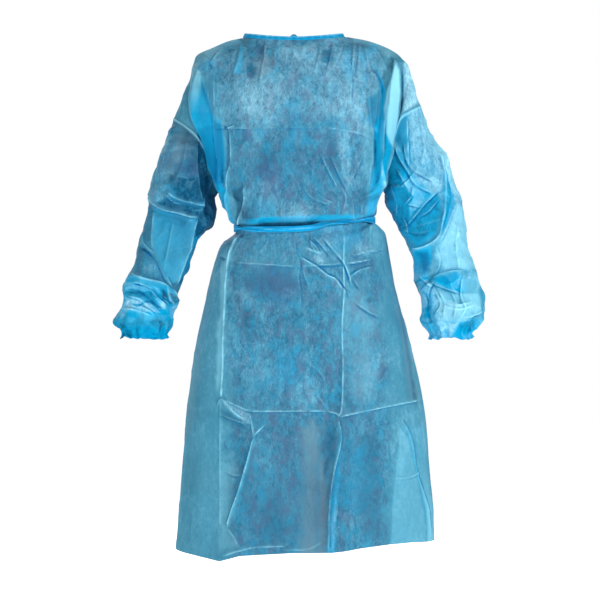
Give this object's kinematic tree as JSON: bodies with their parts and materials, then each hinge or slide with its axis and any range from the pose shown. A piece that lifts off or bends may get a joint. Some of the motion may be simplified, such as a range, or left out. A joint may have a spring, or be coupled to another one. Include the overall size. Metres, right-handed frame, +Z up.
{
  "type": "disposable protective gown",
  "caption": "Blue non-woven isolation gown in its worn shape, hollow, with tied waist and neck, long sleeves with elastic cuffs and an overlapping open back.",
  "frame": {"origin": "on top of the shoulders, in the middle, just under the neck opening, where the wearer's shoulders carry the gown", "axes": "+Z up, -Y is the front of the gown, +X is to the right as seen from the front"},
  "size_m": [0.8326, 0.3081, 1.1814],
  "materials": {
    "non_woven_cloth": "matt spunbond polypropylene, thin and slightly see-through",
    "non_woven_trim": "matt spunbond polypropylene, folded to several layers"
  },
  "bodies": {
    "root": {"front": "non_woven_cloth", "back_left": "non_woven_cloth", "back_right": "non_woven_cloth", "sleeve_left": "non_woven_cloth", "sleeve_right": "non_woven_cloth", "neck_binding": "non_woven_trim", "neck_knot": "non_woven_trim", "neck_tail_left": "non_woven_trim", "neck_tail_right": "non_woven_trim", "belt": "non_woven_trim", "belt_knot": "non_woven_trim", "belt_tail_left": "non_woven_trim", "belt_tail_right": "non_woven_trim"}
  },
  "joints": []
}
